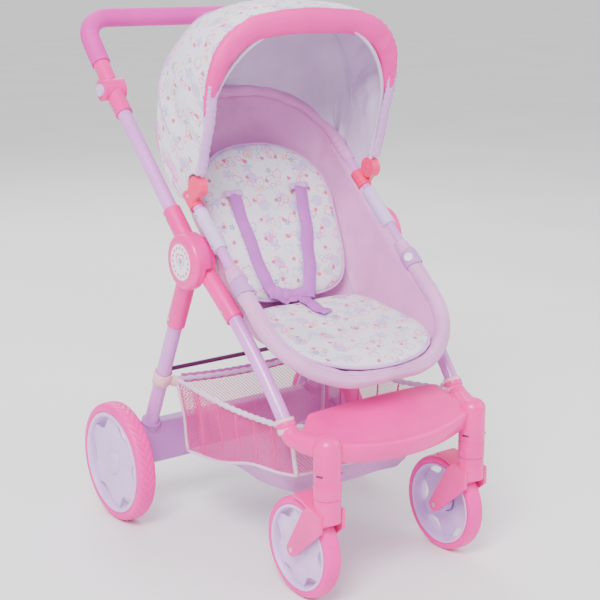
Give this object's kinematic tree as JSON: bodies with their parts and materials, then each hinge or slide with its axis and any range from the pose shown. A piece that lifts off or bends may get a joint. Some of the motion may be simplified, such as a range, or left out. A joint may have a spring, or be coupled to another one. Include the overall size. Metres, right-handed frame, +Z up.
{
  "type": "doll stroller",
  "caption": "Doll stroller with a tube frame, swivel front wheels, a seat bucket in a tilting ring, a folding hood and a net basket.",
  "frame": {"origin": "on the ground, under the middle of the bounding box", "axes": "+Z up; -Y is the front, the way the stroller is pushed; +X is the right side seen from the front"},
  "size_m": [0.38, 0.5434, 0.6848],
  "materials": {
    "pink_plastic": "gloss",
    "medallion": "gloss",
    "steel": "satin",
    "lilac_paint": "satin",
    "lilac_plastic": "satin",
    "plum_paint": "satin",
    "net": "matte",
    "pale_webbing": "matte",
    "wheel_plastic": "satin",
    "pink_tyre": "satin",
    "foam": "matte",
    "pale_plastic": "satin",
    "satin": "satin",
    "print": "matte",
    "webbing": "matte",
    "tab_cloth": "matte",
    "white_plastic": "gloss",
    "coral_plastic": "satin",
    "visor_cloth": "satin"
  },
  "bodies": {
    "chassis": {"hub_housing_left": "pink_plastic", "hub_housing_right": "pink_plastic", "medallion_left": "medallion", "medallion_right": "medallion", "hub_pins": "steel", "upper_tube_left": "lilac_paint", "upper_tube_right": "lilac_paint", "rear_leg_left": "lilac_paint", "rear_leg_right": "lilac_paint", "hinge_lower_left": "pink_plastic", "hinge_lower_right": "pink_plastic", "hinge_pins": "steel", "rear_axle_beam": "lilac_plastic", "rear_axle": "steel", "cross_rod": "plum_paint", "chassis_rivets": "steel", "basket_body": "net", "basket_straps": "pale_webbing"},
    "front_frame": {"front_hub_left": "pink_plastic", "front_hub_right": "pink_plastic", "front_leg_left": "lilac_paint", "front_leg_right": "lilac_paint", "footrest": "pink_plastic", "front_rivets": "steel"},
    "caster_left": {"caster_fork_left": "pink_plastic", "front_axle_left": "steel"},
    "caster_right": {"caster_fork_right": "pink_plastic", "front_axle_right": "steel"},
    "wheel_front_left": {"front_wheel_left": "wheel_plastic", "front_tyre_left": "pink_tyre"},
    "wheel_front_right": {"front_wheel_right": "wheel_plastic", "front_tyre_right": "pink_tyre"},
    "wheel_rear_left": {"rear_wheel_left": "wheel_plastic", "rear_tyre_left": "pink_tyre"},
    "wheel_rear_right": {"rear_wheel_right": "wheel_plastic", "rear_tyre_right": "pink_tyre"},
    "handle": {"hinge_upper_left": "pink_plastic", "hinge_upper_right": "pink_plastic", "handle_tube": "lilac_paint", "handle_grip": "foam", "handle_rivets": "steel"},
    "button_left": {"hinge_button_left": "pink_plastic"},
    "button_right": {"hinge_button_right": "pink_plastic"},
    "seat": {"seat_ring": "lilac_paint", "seat_bracket_left": "pale_plastic", "seat_bracket_right": "pale_plastic", "seat_shell": "satin", "front_casing": "satin", "seat_pad": "print", "back_pad": "print", "harness": "webbing", "snap_tabs": "tab_cloth", "snap_buttons": "white_plastic", "seat_screws": "steel", "canopy_clamps": "coral_plastic", "canopy_rear_panel": "print"},
    "canopy_front": {"canopy_front_bow": "coral_plastic", "canopy_visor": "visor_cloth", "canopy_front_panel": "print"},
    "canopy_mid": {"canopy_mid_panel": "print"}
  },
  "joints": [
    {"name": "chassis_fold", "type": "hinge", "parent": "chassis", "child": "front_frame", "pos_m": [0, -0.018, 0.381], "axis": [1, 0, 0], "range_deg": [0, 30], "deforming": ["basket_body"]},
    {"name": "handle_angle", "type": "hinge", "parent": "chassis", "child": "handle", "pos_m": [0, 0.18126, 0.57342], "axis": [1, 0, 0], "range_deg": [-60, 45]},
    {"name": "caster_swivel_left", "type": "hinge", "parent": "front_frame", "child": "caster_left", "pos_m": [-0.112, -0.2475, 0.139], "axis": [0, 0, 1], "continuous": true},
    {"name": "front_wheel_spin_left", "type": "hinge", "parent": "caster_left", "child": "wheel_front_left", "pos_m": [-0.112, -0.201, 0.062], "axis": [1, 0, 0], "continuous": true},
    {"name": "rear_wheel_spin_left", "type": "hinge", "parent": "chassis", "child": "wheel_rear_left", "pos_m": [-0.176, 0.1355, 0.081], "axis": [1, 0, 0], "continuous": true},
    {"name": "button_press_left", "type": "slide", "parent": "handle", "child": "button_left", "axis": [1, 0, 0], "range_m": [0, 0.0025], "stiffness_N_per_m": 300, "springref_m": -0.001},
    {"name": "caster_swivel_right", "type": "hinge", "parent": "front_frame", "child": "caster_right", "pos_m": [0.112, -0.2475, 0.139], "axis": [0, 0, 1], "continuous": true},
    {"name": "front_wheel_spin_right", "type": "hinge", "parent": "caster_right", "child": "wheel_front_right", "pos_m": [0.112, -0.201, 0.062], "axis": [1, 0, 0], "continuous": true},
    {"name": "rear_wheel_spin_right", "type": "hinge", "parent": "chassis", "child": "wheel_rear_right", "pos_m": [0.176, 0.1355, 0.081], "axis": [1, 0, 0], "continuous": true},
    {"name": "button_press_right", "type": "slide", "parent": "handle", "child": "button_right", "axis": [-1, 0, 0], "range_m": [0, 0.0025], "stiffness_N_per_m": 300, "springref_m": -0.001},
    {"name": "seat_tilt", "type": "hinge", "parent": "chassis", "child": "seat", "pos_m": [0, -0.018, 0.381], "axis": [-1, 0, 0], "range_deg": [-4, 6]},
    {"name": "canopy_fold", "type": "hinge", "parent": "seat", "child": "canopy_front", "pos_m": [0, -0.01687, 0.47078], "axis": [-1, 0, 0], "range_deg": [0, 46], "deforming": ["canopy_mid_panel", "canopy_rear_panel"]},
    {"name": "canopy_mid_fold", "type": "hinge", "parent": "seat", "child": "canopy_mid", "pos_m": [0, -0.01687, 0.47078], "axis": [-1, 0, 0], "range_deg": [0, 23]}
  ],
  "couplings": [
    {"joint": "canopy_mid_fold", "follows": "canopy_fold", "ratio": 0.5}
  ]
}
